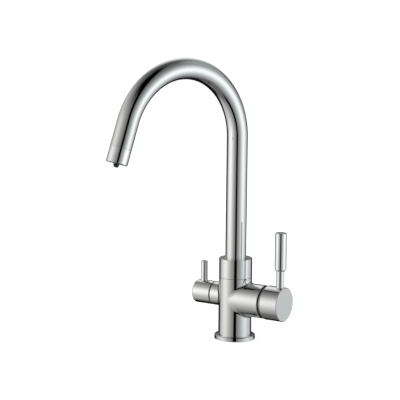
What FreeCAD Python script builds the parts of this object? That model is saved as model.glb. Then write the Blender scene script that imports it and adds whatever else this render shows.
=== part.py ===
import FreeCAD, Part
import math
import os
from FreeCAD import Vector

os.makedirs("parts", exist_ok=True)

# Deck-mounted kitchen mixer tap with a swan-neck spout, in millimetres.
# The right arm holds a single-lever mixing cartridge, and the left arm a quarter-turn valve for
# filtered water. The filtered water has its own tube inside the spout and its own nozzle.
# Origin: centre of the base's underside. +Z up, +X along the mixer arm, -Y to the front.

UP = Vector(0, 0, 1)
DOWN = Vector(0, 0, -1)
MIXER_SIDE = Vector(1, 0, 0)
FILTER_SIDE = Vector(-1, 0, 0)
FRONT = Vector(0, -1, 0)

# Clearances
fit = 0.05                    # between round pieces that fit in each other
seam = 0.3                    # between pieces that turn past each other
lip = 0.3                     # broken edge on turned brass

# Base ring and its gasket
base_radius = 24.5
base_height = 5.0
base_bevel = 1.0
gasket_outer = 23.2
gasket_inner = 20.6
gasket_height = 1.6

# Body casting: the trunk
body_radius = 20.0
spigot_radius = 17.0          # passes through the base ring
body_top = 75.0
junction_fillet = 2.5

# Threaded ports in the underside
port_thread_radius = 4.5      # M10x1 flexible hose
port_depth = 14.0
hot_cold_x = 4.0
hot_cold_y = 9.0
supply_bore = 3.5
filter_port_x = -9.0
filter_supply_bore = 2.5
stud_x = 12.0
stud_radius = 3.4             # tapped M8
stud_depth = 14.0

# Hollow stem that the spout turns on
stem_radius = 15.9
stem_height = 15.5
chamber_radius = 10.8
chamber_depth = 6.0           # below the body's top face
ring_section = 1.0            # radius of the O-ring's section
ring_groove_width = 2.3
ring_groove_depth = 2.05
lower_ring_rise = 3.65        # above the body's top face
upper_ring_rise = 12.65
catch_rise = 8.0              # groove for the spout's grub screw
catch_width = 4.6
catch_depth = 1.7
thrust_ring_inner = 16.1
thrust_ring_outer = 18.2
thrust_ring_height = 1.6

# Filtered water nipple on the stem's axis
nipple_radius = 3.15
nipple_thread_radius = 3.2
nipple_thread_length = 6.0
nipple_bore = 1.2
nipple_flange_across = 8.4
nipple_flange_height = 3.0
nipple_length = 16.0          # above the flange
nipple_ring_section = 0.55

# Mixing cartridge, placed along the mixer arm from the floor of its pocket
mixer_z = 49.1
cartridge_floor = 12.0        # distance from the body's axis
case_radius = 17.5
case_bore = 15.0
case_floor = 3.0
case_length = 20.0
port_spread = 7.5             # hot and cold ports, to each side
port_rise = 5.0               # hot and cold above the axis, mixed below it
inlet_radius = 2.8
mixed_radius = 2.6
mixed_way_radius = 2.75
mixed_way_inset = 4.2         # from the cartridge floor to the upright drilling
seal_ring_radius = 4.3
seal_section = 0.75
pin_radius = 1.8
pin_length = 2.5
pin_y = 13.0
pin_drop = 4.0
fixed_disc_thickness = 2.5
moving_disc_radius = 11.0
moving_disc_thickness = 2.45
pocket_radius = 9.7
pocket_depth = 1.4
pocket_top = 1.8
carrier_radius = 10.5
carrier_length = 5.0
carrier_flat = 8.0            # half the distance across its flats
turner_gap = 0.3
turner_flange = 14.8
turner_flange_length = 6.4
turner_neck = 12.7
turner_length = 12.2
turner_lug_length = 4.7
turner_lug_thickness = 2.6
turner_lug_half = 5.0
turner_slot_half_height = 6.0
pivot_rise = 1.0              # pivot beyond the top of the case
pivot_pin_radius = 1.5
pivot_pin_half = 12.0

# Stem of the lever inside the cartridge
stem_half = 3.8               # half of the square bar
ball_radius = 2.5
ball_reach = 10.3             # from the pivot to the ball's centre
ball_neck_radius = 1.5
square_start = 4.0            # square bar starts this far inside the pivot
ball_clearance = 0.15

# Mixer arm, retaining nut and dome
nut_thickness = 5.0
nut_bore = 13.0
nut_slot_width = 4.0
nut_slot_depth = 2.5
mouth_radius = 18.15          # threaded mouth of the arm
dome_skirt_length = 4.0
dome_skirt_bore = 16.6
dome_wall = 1.2
dome_neck = 17.6              # straight part seen between the arm and the knob
dome_opening = 12.0
dome_gap = 0.6
mixer_arm_radius = body_radius
arm_chamfer = 0.4

# Mixer knob, lever and grip
knob_gap = 3.5                # from the arm to the knob's rim
knob_radius = 20.5
knob_bore = 18.2
knob_bore_depth = 10.5
knob_length = 23.7
knob_chamfer = 0.8
lever_inset = 6.7             # from the knob's end face to the lever's axis
lever_radius = 4.75
lever_thread_radius = 3.0
lever_seat = 19.3             # from the knob's axis
lever_thread_foot = 8.5
grip_radius = 7.0
grip_bottom = 40.1            # above the mixer axis
grip_length = 45.6
grip_top_round = 1.0
grip_foot_chamfer = 1.6
grip_thread_depth = 16.0
grub_radius = 2.0
grub_length = 6.0
grub_socket = 1.0
knob_grub_inset = 9.0         # from the knob's end face

# Filtered water arm and its quarter-turn valve
filter_z = 51.4
boss_radius = 13.2
boss_end = 24.0               # distance from the body's axis
valve_floor = 14.0
valve_thread_radius = 8.0
washer_outer = 6.4
washer_inner = 4.3
washer_thickness = 1.5
cage_radius = 6.5
cage_bore = 5.15
cage_length = 5.0
window_width = 5.0
filter_disc_radius = 5.05
filter_disc_thickness = 2.0
filter_hole_radius = 1.3
filter_hole_offset = 2.8
hex_across = 17.0
hex_height = 2.6
headwork_neck_radius = 6.5
headwork_neck_length = 2.9
spindle_radius = 4.0
spindle_flange_thickness = 0.7
tang_length = 0.9
tang_half_width = 0.8
tang_inner = 2.4
tang_outer = 4.2
spindle_ring_section = 0.7
spindle_ring_inset = 3.0      # below the headwork's neck end
clip_thickness = 0.8
clip_outer = 5.4
clip_groove_radius = 3.3
square_half = 2.75
square_length = 11.5
sleeve_radius = 14.25
sleeve_gap = 1.0              # between the sleeve's saddle and the body
sleeve_end = 28.2

# Filter handle and its lever
handle_radius = sleeve_radius
handle_gap = 0.9              # from the sleeve to the handle
handle_length = 24.8
handle_round = 2.2
handle_recess_radius = 10.0
handle_recess_depth = 5.0
handle_lever_place = 15.1     # from the handle's inner face
handle_lever_radius = 4.25
handle_lever_top = 38.0       # above the filter axis
handle_lever_round = 1.2
handle_lever_seat = 12.9
handle_lever_thread_radius = 2.5
handle_lever_thread_foot = 6.0
handle_grub_place = 9.5
handle_grub_length = 5.0

# Spout
collar_radius = body_radius
collar_gap = 0.15             # from the body to the collar
collar_length = 22.85
collar_roof = 7.0
collar_ledge = 1.0
collar_ledge_bore = 11.2
tube_radius = 12.5
tube_wall = 1.0
riser_length = 146.0          # from the collar's top to the start of the bend
arch_radius = 84.0            # centre line
arch_turn = 161.0             # degrees
tip_length = 47.9             # straight end, outlet sleeve included
spout_rest_turn = -17.0       # degrees from straight ahead in the photographed pose

# Outlet
outlet_length = 17.5
outlet_round = 0.6
outlet_spigot_length = 7.4
outlet_spigot_wall = 1.65
outlet_lip = 1.2
outlet_lip_radius = 10.5
outlet_bore = 10.95
outlet_bore_depth = 11.9
outlet_seal_thickness = 0.9
outlet_seal_inner = 9.0
insert_hub_inner = 5.1
insert_hub_outer = 6.1
insert_rim_inner = 9.6
insert_web_radius = 7.8
insert_web_thickness = 0.8
insert_ribs = 18
insert_rib_thickness = 0.7
insert_rib_depth = 4.0
filter_tube_radius = 4.0
filter_tube_bore = 3.2
filter_tube_foot = 4.0        # above the stem chamber's floor
filter_tube_inset = 4.0       # its end inside the outlet
nozzle_body_radius = 5.05
nozzle_body_length = 9.0
nozzle_neck_radius = 3.25
nozzle_neck_length = 2.4
nozzle_tip_radius = 2.6
nozzle_reach = 4.2            # beyond the outlet
nozzle_bore = 1.9

# Places that follow from the sizes above
chamber_floor = body_top - chamber_depth
stem_top = body_top + stem_height
collar_bottom = body_top + collar_gap
collar_top = collar_bottom + collar_length
tube_foot = collar_top - collar_roof + collar_ledge
bend_z = collar_top + riser_length
case_top = cartridge_floor + case_length
pivot_x = case_top + pivot_rise
ball_x = pivot_x - ball_reach
nut_end = case_top + nut_thickness
dome_foot = nut_end + 0.5
mixer_arm_end = dome_foot + dome_skirt_length
knob_rim = mixer_arm_end + knob_gap
knob_floor = knob_rim + knob_bore_depth
knob_end = knob_rim + knob_length
lever_x = knob_end - lever_inset
fixed_disc_x = cartridge_floor + case_floor
moving_disc_x = fixed_disc_x + fixed_disc_thickness + fit
carrier_x = moving_disc_x + moving_disc_thickness
turner_x = carrier_x + carrier_length + turner_gap
dome_radius = math.hypot(knob_bore, knob_rim - pivot_x) - dome_gap
cage_start = valve_floor + washer_thickness
cage_end = cage_start + cage_length
filter_fixed_start = cage_start
filter_moving_start = filter_fixed_start + filter_disc_thickness + fit
spindle_start = filter_moving_start + filter_disc_thickness + fit
headwork_end = boss_end + hex_height + headwork_neck_length
clip_start = headwork_end + seam
square_begin = clip_start + clip_thickness + 0.6
handle_start = sleeve_end + handle_gap
handle_end = handle_start + handle_length
handle_lever_x = -(handle_start + handle_lever_place)
outlet_start = tip_length - outlet_length
outlet_floor = tip_length - outlet_bore_depth
insert_start = outlet_floor + outlet_seal_thickness
insert_end = tip_length - outlet_lip
body_axis = Vector(0, 0, 0)
mixer_axis = Vector(0, 0, mixer_z)
filter_axis = Vector(0, 0, filter_z)


def placed(shape, start, direction):
    """Shape made along +X from the origin, moved to start and turned to direction."""
    turned_shape = shape.copy()
    turned_shape.Placement = FreeCAD.Placement(start, FreeCAD.Rotation(Vector(1, 0, 0), direction))
    return turned_shape


def turned(corners, start, direction):
    """Turned piece from an outline of (distance along the axis, radius) corners.

    A corner of four values is the end of an arc, with the arc's middle point after it.
    """
    edges = []
    last = corners[-1]
    for corner in corners:
        here = Vector(last[0], last[1], 0)
        there = Vector(corner[0], corner[1], 0)
        if len(corner) == 4:
            edges.append(Part.Arc(here, Vector(corner[2], corner[3], 0), there).toShape())
        else:
            edges.append(Part.makeLine(here, there))
        last = corner
    face = Part.Face(Part.Wire(edges))
    solid = face.revolve(Vector(0, 0, 0), Vector(1, 0, 0), 360)
    return placed(solid, start, direction)


def rod(radius, start, end):
    """Round bar, or a drilling, between two points."""
    span = end - start
    return Part.makeCylinder(radius, span.Length, start, span)


def pipe(outer, inner, start, end):
    return rod(outer, start, end).cut(rod(inner, start, end))


def block(x, y, z):
    """Box from three (low, high) pairs."""
    return Part.makeBox(x[1] - x[0], y[1] - y[0], z[1] - z[0], Vector(x[0], y[0], z[0]))


def o_ring(radius, section, centre, direction):
    """Ring whose outside is at the given radius."""
    return Part.makeTorus(radius - section, section, centre, direction)


def hexagon(across_flats, height, start, direction):
    corner = across_flats / math.sqrt(3)
    points = []
    for k in range(7):
        angle = math.radians(60 * k)
        points.append(Vector(0, corner * math.cos(angle), corner * math.sin(angle)))
    prism = Part.Face(Part.makePolygon(points)).extrude(Vector(height, 0, 0))
    return placed(prism, start, direction)


def grub_screw(length, start, direction):
    """Socket set screw: start is its point, and the socket faces along direction."""
    screw = turned([(0, 0), (0, grub_radius - fit - 0.5), (0.5, grub_radius - fit),
                    (length, grub_radius - fit), (length, 0)], start, direction)
    depth = length / 2
    socket = hexagon(2 * grub_socket, depth, start + direction * (length - depth), direction)
    return screw.cut(socket)


def on_mixer(x, y=0.0, rise=0.0):
    """Point near the mixer arm, from its axis."""
    return Vector(x, y, mixer_z + rise)


def on_filter(distance, y=0.0, rise=0.0):
    """Point near the filter arm, from its axis."""
    return Vector(-distance, y, filter_z + rise)


# Base

def base_ring():
    ring = turned([(0, spigot_radius + fit), (0, base_radius), (base_height - base_bevel, base_radius),
                   (base_height, base_radius - base_bevel), (base_height, spigot_radius + fit)],
                  body_axis, UP)
    groove = pipe(gasket_outer + fit, gasket_inner - fit, body_axis, UP * gasket_height)
    return ring.cut(groove)


def base_gasket():
    return pipe(gasket_outer, gasket_inner, body_axis, UP * gasket_height)


# Body casting

def outer_skin():
    """Trunk and mixer arm, blended where they meet, with the arm's mouth chamfered."""
    trunk = rod(body_radius, UP * base_height, UP * body_top)
    arm = rod(mixer_arm_radius, mixer_axis, on_mixer(mixer_arm_end))
    skin = trunk.fuse(arm).removeSplitter()
    plain = ("Part::GeomLine", "Part::GeomCircle")
    junction = [edge for edge in skin.Edges if edge.Curve.TypeId not in plain]
    skin = skin.makeFillet(junction_fillet, junction)
    mouth = [edge for edge in skin.Edges if abs(edge.CenterOfMass.x - mixer_arm_end) < 0.01]
    return skin.makeChamfer(arm_chamfer, mouth)


def swivel_stem():
    """Stem for the spout with two O-ring grooves and the grub screw's groove."""
    def groove(middle, width, depth):
        low = middle - width / 2
        high = middle + width / 2
        return [(low, stem_radius), (low, stem_radius - depth),
                (high, stem_radius - depth), (high, stem_radius)]

    corners = [(0, 0), (0, stem_radius)]
    corners += groove(lower_ring_rise, ring_groove_width, ring_groove_depth)
    corners += groove(catch_rise, catch_width, catch_depth)
    corners += groove(upper_ring_rise, ring_groove_width, ring_groove_depth)
    corners += [(stem_height - lip, stem_radius), (stem_height, stem_radius - lip), (stem_height, 0)]
    return turned(corners, UP * body_top, UP)


def water_ways():
    """Drillings from the ports to the two valves and from the valves to the stem."""
    ways = []
    for side in (-1, 1):
        foot = Vector(hot_cold_x, side * hot_cold_y, 0)
        level = mixer_z + port_rise
        ways.append(rod(port_thread_radius, foot, foot + UP * port_depth))
        ways.append(rod(supply_bore, foot, foot + UP * level))
        ways.append(rod(inlet_radius, Vector(hot_cold_x, side * port_spread, level),
                        Vector(cartridge_floor, side * port_spread, level)))
    mixed_x = cartridge_floor - mixed_way_inset
    mixed_level = mixer_z - port_rise
    ways.append(rod(mixed_radius, Vector(mixed_x, 0, mixed_level),
                    Vector(cartridge_floor, 0, mixed_level)))
    ways.append(rod(mixed_way_radius, Vector(mixed_x, 0, mixed_level - mixed_radius),
                    Vector(mixed_x, 0, chamber_floor)))
    filter_foot = Vector(filter_port_x, 0, 0)
    ways.append(rod(port_thread_radius, filter_foot, filter_foot + UP * port_depth))
    ways.append(rod(filter_supply_bore, filter_foot, filter_foot + UP * filter_z))
    ways.append(rod(filter_supply_bore, Vector(filter_port_x, 0, filter_z), on_filter(valve_floor)))
    nipple_foot = UP * (chamber_floor - nipple_thread_length)
    ways.append(rod(nipple_thread_radius, nipple_foot, UP * chamber_floor))
    ways.append(rod(filter_supply_bore - 0.5, nipple_foot,
                    on_filter(cage_start, 0, valve_thread_radius - filter_supply_bore)))
    stud_foot = Vector(stud_x, 0, 0)
    ways.append(rod(stud_radius, stud_foot, stud_foot + UP * stud_depth))
    return ways


def body_casting():
    spigot = rod(spigot_radius, body_axis, UP * (base_height + 1))
    boss = rod(boss_radius, on_filter(0), on_filter(boss_end))
    casting = outer_skin().multiFuse([spigot, swivel_stem(), boss])
    hollows = [
        rod(chamber_radius, UP * chamber_floor, UP * stem_top),
        rod(case_radius + fit, on_mixer(cartridge_floor), on_mixer(case_top)),
        rod(mouth_radius, on_mixer(case_top), on_mixer(mixer_arm_end)),
        rod(valve_thread_radius, on_filter(valve_floor), on_filter(boss_end)),
    ]
    for side in (-1, 1):
        pin_hole = on_mixer(cartridge_floor, side * pin_y, -pin_drop)
        hollows.append(rod(pin_radius + fit, pin_hole - MIXER_SIDE * (pin_length + seam), pin_hole))
    return casting.cut(hollows + water_ways()).removeSplitter()


def stem_o_rings():
    rings = []
    for rise in (lower_ring_rise, upper_ring_rise):
        rings.append(o_ring(stem_radius, ring_section, UP * (body_top + rise), UP))
    return Part.makeCompound(rings)


def spout_thrust_ring():
    return pipe(thrust_ring_outer, thrust_ring_inner, UP * body_top,
                UP * (body_top + thrust_ring_height))


# Filtered water nipple

def nipple_ring_rise():
    return nipple_length - 2.5


def filter_nipple():
    flange_top = nipple_flange_height
    ring_low = flange_top + nipple_ring_rise() - nipple_ring_section - fit
    ring_high = flange_top + nipple_ring_rise() + nipple_ring_section + fit
    ring_floor = nipple_radius - 2 * nipple_ring_section - fit
    top = flange_top + nipple_length
    stem = turned([(-nipple_thread_length + 1, 0), (-nipple_thread_length + 1, nipple_thread_radius - fit),
                   (0, nipple_thread_radius - fit), (flange_top, nipple_radius),
                   (ring_low, nipple_radius), (ring_low, ring_floor),
                   (ring_high, ring_floor), (ring_high, nipple_radius),
                   (top, nipple_radius), (top, 0)], UP * chamber_floor, UP)
    flange = hexagon(nipple_flange_across, nipple_flange_height, UP * chamber_floor, UP)
    bore = rod(nipple_bore, UP * (chamber_floor - nipple_thread_length), UP * (chamber_floor + top))
    return stem.fuse(flange).cut(bore).removeSplitter()


def filter_nipple_o_ring():
    centre = UP * (chamber_floor + nipple_flange_height + nipple_ring_rise())
    return o_ring(nipple_radius, nipple_ring_section, centre, UP)


# Mixing cartridge

def cartridge_ports():
    """Centre and radius of the hot, cold and mixed ports, seen from the arm's axis."""
    return [(-port_spread, port_rise, inlet_radius), (port_spread, port_rise, inlet_radius),
            (0, -port_rise, mixed_radius)]


def cartridge_case():
    case = turned([(0, 0), (0, case_radius), (case_length, case_radius),
                   (case_length, case_bore), (case_floor, case_bore), (case_floor, 0)],
                  on_mixer(cartridge_floor), MIXER_SIDE)
    cuts = []
    for y, rise, radius in cartridge_ports():
        mouth = on_mixer(cartridge_floor, y, rise)
        cuts.append(rod(radius, mouth, mouth + MIXER_SIDE * case_floor))
        cuts.append(pipe(seal_ring_radius + seal_section + fit, seal_ring_radius - seal_section - fit,
                         mouth, mouth + MIXER_SIDE * 2 * seal_section))
    case = case.cut(cuts)
    pins = []
    for side in (-1, 1):
        root = on_mixer(cartridge_floor, side * pin_y, -pin_drop)
        pins.append(rod(pin_radius, root - MIXER_SIDE * pin_length, root + MIXER_SIDE))
    return case.multiFuse(pins).removeSplitter()


def cartridge_port_seals():
    seals = []
    for y, rise, radius in cartridge_ports():
        centre = on_mixer(cartridge_floor + seal_section, y, rise)
        seals.append(o_ring(seal_ring_radius + seal_section, seal_section, centre, MIXER_SIDE))
    return Part.makeCompound(seals)


def fixed_mixing_disc():
    face = on_mixer(fixed_disc_x)
    disc = rod(case_bore - fit, face, face + MIXER_SIDE * fixed_disc_thickness)
    for y, rise, radius in cartridge_ports():
        mouth = on_mixer(fixed_disc_x, y, rise)
        disc = disc.cut(rod(radius, mouth, mouth + MIXER_SIDE * fixed_disc_thickness))
    return disc


def moving_mixing_disc():
    """Its pocket joins the inlets to the mixed port when the disc slides up."""
    face = on_mixer(moving_disc_x)
    disc = rod(moving_disc_radius, face, face + MIXER_SIDE * moving_disc_thickness)
    pocket = rod(pocket_radius, face, face + MIXER_SIDE * pocket_depth)
    pocket = pocket.common(block((moving_disc_x, carrier_x), (-pocket_radius, pocket_radius),
                                 (mixer_z - pocket_radius, mixer_z + pocket_top)))
    return disc.cut(pocket)


def disc_carrier():
    """Slides between the turner's lugs and holds the ball of the lever's stem."""
    face = on_mixer(carrier_x)
    end = face + MIXER_SIDE * carrier_length
    carrier = rod(carrier_radius, face, end)
    carrier = carrier.common(block((carrier_x, end.x), (-carrier_flat, carrier_flat),
                                   (mixer_z - carrier_radius, mixer_z + carrier_radius)))
    return carrier.cut(rod(ball_radius + ball_clearance, face, end))


def cartridge_turner():
    """Turns with the lever about the arm's axis, and takes the disc carrier with it."""
    turner = turned([(0, 0), (0, turner_flange), (turner_flange_length, turner_flange),
                     (turner_flange_length, turner_neck), (turner_length, turner_neck),
                     (turner_length, 0)], on_mixer(turner_x), MIXER_SIDE)
    lugs = []
    for side in (-1, 1):
        near = side * (carrier_flat + turner_gap)
        far = side * (carrier_flat + turner_gap + turner_lug_thickness)
        lugs.append(block((turner_x - turner_lug_length, turner_x + 1),
                          (min(near, far), max(near, far)),
                          (mixer_z - turner_lug_half, mixer_z + turner_lug_half)))
    turner = turner.multiFuse(lugs)
    slot_half = stem_half + turner_gap
    slot = block((turner_x - 1, turner_x + turner_length), (-slot_half, slot_half),
                 (mixer_z - turner_slot_half_height, mixer_z + turner_slot_half_height))
    pin_hole = rod(pivot_pin_radius + fit, on_mixer(pivot_x, -turner_flange),
                   on_mixer(pivot_x, turner_flange))
    return turner.cut([slot, pin_hole]).removeSplitter()


def cartridge_pivot_pin():
    return rod(pivot_pin_radius, on_mixer(pivot_x, -pivot_pin_half), on_mixer(pivot_x, pivot_pin_half))


def cartridge_nut():
    nut = pipe(mouth_radius - fit, nut_bore, on_mixer(case_top), on_mixer(nut_end))
    slots = []
    for direction in (Vector(0, 1, 0), Vector(0, 0, 1)):
        half = mouth_radius
        across = direction.cross(MIXER_SIDE)
        low = direction * half + across * (nut_slot_width / 2)
        size = Vector(abs(low.x), abs(low.y), abs(low.z))
        slots.append(block((nut_end - nut_slot_depth, nut_end), (-size.y, size.y),
                           (mixer_z - size.z, mixer_z + size.z)))
    return nut.cut(slots)


def dome_bonnet():
    """Chrome cap whose dome is centred on the lever's pivot, so the knob clears it as it tilts."""
    def dome_x(radius, height):
        return pivot_x + math.sqrt(radius ** 2 - height ** 2)

    inner = dome_radius - dome_wall
    middle = math.asin((dome_neck / dome_radius + dome_opening / dome_radius) / 2)
    inner_middle = math.asin((dome_skirt_bore / inner + dome_opening / inner) / 2)
    skirt = mouth_radius - fit
    corners = [
        (dome_foot, dome_skirt_bore),
        (dome_foot, skirt),
        (mixer_arm_end, skirt),
        (mixer_arm_end, dome_neck),
        (dome_x(dome_radius, dome_neck), dome_neck),
        (dome_x(dome_radius, dome_opening), dome_opening,
         pivot_x + dome_radius * math.cos(middle), dome_radius * math.sin(middle)),
        (dome_x(inner, dome_opening), dome_opening),
        (dome_x(inner, dome_skirt_bore), dome_skirt_bore,
         pivot_x + inner * math.cos(inner_middle), inner * math.sin(inner_middle)),
    ]
    return turned(corners, mixer_axis, MIXER_SIDE)


# Mixer lever

def cartridge_stem():
    ball = Part.makeSphere(ball_radius, on_mixer(ball_x))
    neck = rod(ball_neck_radius, on_mixer(ball_x), on_mixer(pivot_x - square_start + 1))
    bar = block((pivot_x - square_start, lever_x + 2), (-stem_half, stem_half),
                (mixer_z - stem_half, mixer_z + stem_half))
    pin_hole = rod(pivot_pin_radius + fit, on_mixer(pivot_x, -stem_half), on_mixer(pivot_x, stem_half))
    return bar.multiFuse([ball, neck]).cut(pin_hole)


def mixer_knob():
    knob = turned([(knob_rim, knob_bore + lip), (knob_rim, knob_radius - lip),
                   (knob_rim + lip, knob_radius),
                   (knob_end - knob_chamfer, knob_radius), (knob_end, knob_radius - knob_chamfer),
                   (knob_end, 0), (knob_floor, 0), (knob_floor, knob_bore), (knob_rim + lip, knob_bore)],
                  mixer_axis, MIXER_SIDE)
    socket_half = stem_half + fit
    socket = block((knob_floor, lever_x + 2 + seam), (-socket_half, socket_half),
                   (mixer_z - socket_half, mixer_z + socket_half))
    seat = rod(lever_radius + fit, on_mixer(lever_x, 0, lever_seat),
               on_mixer(lever_x, 0, knob_radius + 1))
    thread = rod(lever_thread_radius, on_mixer(lever_x, 0, lever_thread_foot),
                 on_mixer(lever_x, 0, lever_seat))
    grub_x = knob_end - knob_grub_inset
    grub_hole = rod(grub_radius, on_mixer(grub_x, 0, -knob_radius), on_mixer(grub_x))
    return knob.cut([socket, seat, thread, grub_hole])


def mixer_grub_screw():
    start = on_mixer(knob_end - knob_grub_inset, 0, -stem_half)
    return grub_screw(grub_length, start, DOWN)


def mixer_lever_rod():
    foot = lever_thread_foot + seam
    top = grip_bottom + grip_thread_depth - seam
    return turned([(foot, 0), (foot, lever_thread_radius - fit), (lever_seat, lever_thread_radius - fit),
                   (lever_seat, lever_radius), (grip_bottom, lever_radius),
                   (grip_bottom, lever_thread_radius - fit), (top, lever_thread_radius - fit), (top, 0)],
                  on_mixer(lever_x), UP)


def mixer_lever_grip():
    top = grip_bottom + grip_length
    bend = grip_top_round * (1 - math.sqrt(0.5))
    bore = lever_thread_radius
    bore_end = grip_bottom + grip_thread_depth
    return turned([(grip_bottom, bore), (grip_bottom, grip_radius - grip_foot_chamfer),
                   (grip_bottom + grip_foot_chamfer, grip_radius), (top - grip_top_round, grip_radius),
                   (top, grip_radius - grip_top_round, top - bend, grip_radius - bend),
                   (top, 0), (bore_end, 0), (bore_end, bore)], on_mixer(lever_x), UP)


# Quarter-turn valve for filtered water

def filter_arm_sleeve():
    sleeve = pipe(sleeve_radius, boss_radius + fit, on_filter(0), on_filter(sleeve_end))
    return sleeve.cut(rod(body_radius + sleeve_gap, body_axis, UP * body_top))


def filter_valve_washer():
    return pipe(washer_outer, washer_inner, on_filter(valve_floor), on_filter(cage_start))


def filter_headwork():
    """Screwed into the arm: cage for the discs, thread, hexagon and neck."""
    shell = turned([(cage_start, cage_bore), (cage_start, cage_radius), (cage_end, cage_radius),
                    (cage_end, valve_thread_radius - fit), (boss_end, valve_thread_radius - fit),
                    (boss_end, headwork_neck_radius), (headwork_end, headwork_neck_radius),
                    (headwork_end, spindle_radius + fit), (cage_end, spindle_radius + fit),
                    (cage_end, cage_bore)], filter_axis, FILTER_SIDE)
    nut = hexagon(hex_across, hex_height, on_filter(boss_end), FILTER_SIDE)
    nut = nut.cut(rod(headwork_neck_radius - 1, on_filter(boss_end), on_filter(headwork_end)))
    half = window_width / 2
    windows = block((-cage_end, -filter_moving_start), (-cage_radius, cage_radius),
                    (filter_z - half, filter_z + half))
    return shell.fuse(nut).cut(windows).removeSplitter()


def filter_holes(start, along):
    """Two holes through a disc, on a line along the given direction."""
    holes = []
    for side in (-1, 1):
        centre = on_filter(start) + along * (side * filter_hole_offset)
        holes.append(rod(filter_hole_radius, centre, centre + FILTER_SIDE * filter_disc_thickness))
    return holes


def filter_disc(start, along):
    disc = rod(filter_disc_radius, on_filter(start), on_filter(start + filter_disc_thickness))
    return disc.cut(filter_holes(start, along))


def filter_fixed_disc():
    return filter_disc(filter_fixed_start, FRONT)


def tang(side, clearance):
    """Driver between the spindle and the moving disc."""
    start = spindle_start - tang_length - clearance
    half = tang_half_width + clearance
    ends = sorted((side * (tang_inner - clearance), side * (tang_outer + clearance)))
    return block((-spindle_start - fit, -start), ends, (filter_z - half, filter_z + half))


def filter_moving_disc():
    """Closed at rest: its holes stand a quarter turn from those of the fixed disc."""
    disc = filter_disc(filter_moving_start, UP)
    return disc.cut([tang(-1, 0.1), tang(1, 0.1)])


def filter_spindle():
    groove_middle = headwork_end - spindle_ring_inset
    groove_low = groove_middle - spindle_ring_section - fit
    groove_high = groove_middle + spindle_ring_section + fit
    groove_floor = spindle_radius - 2 * spindle_ring_section - fit
    clip_end = clip_start + clip_thickness
    flange_end = spindle_start + spindle_flange_thickness
    stem = turned([(spindle_start, 0), (spindle_start, filter_disc_radius),
                   (flange_end, filter_disc_radius), (flange_end, spindle_radius),
                   (groove_low, spindle_radius), (groove_low, groove_floor),
                   (groove_high, groove_floor), (groove_high, spindle_radius),
                   (clip_start, spindle_radius), (clip_start, clip_groove_radius),
                   (clip_end, clip_groove_radius), (clip_end, spindle_radius),
                   (square_begin, spindle_radius), (square_begin, 0)], filter_axis, FILTER_SIDE)
    square = block((-square_begin - square_length, -square_begin), (-square_half, square_half),
                   (filter_z - square_half, filter_z + square_half))
    return stem.multiFuse([square, tang(-1, 0), tang(1, 0)]).removeSplitter()


def filter_spindle_o_ring():
    centre = on_filter(headwork_end - spindle_ring_inset)
    return o_ring(spindle_radius, spindle_ring_section, centre, MIXER_SIDE)


def filter_spindle_clip():
    """Open circlip that keeps the spindle in its neck."""
    clip = pipe(clip_outer, clip_groove_radius + fit, on_filter(clip_start),
                on_filter(clip_start + clip_thickness))
    opening = block((-clip_start - clip_thickness, -clip_start), (-clip_outer, 0),
                    (filter_z - clip_groove_radius / 2, filter_z + clip_groove_radius / 2))
    return clip.cut(opening)


def filter_handle():
    bend = handle_round * (1 - math.sqrt(0.5))
    handle = turned([(handle_start, handle_recess_radius), (handle_start, handle_radius - lip),
                     (handle_start + lip, handle_radius), (handle_end - handle_round, handle_radius),
                     (handle_end, handle_radius - handle_round, handle_end - bend, handle_radius - bend),
                     (handle_end, 0),
                     (handle_start + handle_recess_depth, 0),
                     (handle_start + handle_recess_depth, handle_recess_radius)], filter_axis, FILTER_SIDE)
    socket_half = square_half + fit
    socket = block((-square_begin - square_length - seam, -handle_start), (-socket_half, socket_half),
                   (filter_z - socket_half, filter_z + socket_half))
    lever = Vector(handle_lever_x, 0, filter_z)
    seat = rod(handle_lever_radius + fit, lever + UP * handle_lever_seat,
               lever + UP * (handle_radius + 1))
    thread = rod(handle_lever_thread_radius, lever + UP * handle_lever_thread_foot,
                 lever + UP * handle_lever_seat)
    grub_place = handle_start + handle_grub_place
    grub_hole = rod(grub_radius, on_filter(grub_place, 0, -handle_radius), on_filter(grub_place))
    return handle.cut([socket, seat, thread, grub_hole])


def filter_lever_rod():
    foot = handle_lever_thread_foot + seam
    bend = handle_lever_round * (1 - math.sqrt(0.5))
    thread = handle_lever_thread_radius - fit
    top = handle_lever_top
    return turned([(foot, 0), (foot, thread), (handle_lever_seat, thread),
                   (handle_lever_seat, handle_lever_radius),
                   (top - handle_lever_round, handle_lever_radius),
                   (top, handle_lever_radius - handle_lever_round, top - bend, handle_lever_radius - bend),
                   (top, 0)], Vector(handle_lever_x, 0, filter_z), UP)


def filter_grub_screw():
    start = on_filter(handle_start + handle_grub_place, 0, -square_half)
    return grub_screw(handle_grub_length, start, DOWN)


# Spout, modelled pointing to the front

arch_centre = Vector(0, 0, bend_z) + FRONT * arch_radius
tip_angle = math.radians(arch_turn)
tip_direction = UP * math.cos(tip_angle) + FRONT * math.sin(tip_angle)
arch_end = (arch_centre - FRONT * (arch_radius * math.cos(tip_angle))
            + UP * (arch_radius * math.sin(tip_angle)))


def swan_neck(radius, foot, tip):
    """Solid bar along the spout's centre line, from height foot to a distance along the tip."""
    riser = rod(radius, UP * foot, UP * bend_z)
    section = Part.Face(Part.Wire(Part.makeCircle(radius, UP * bend_z, UP)))
    bend = section.revolve(arch_centre, UP.cross(FRONT), arch_turn)
    end = rod(radius, arch_end, arch_end + tip_direction * tip)
    return riser.multiFuse([bend, end]).removeSplitter()


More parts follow.
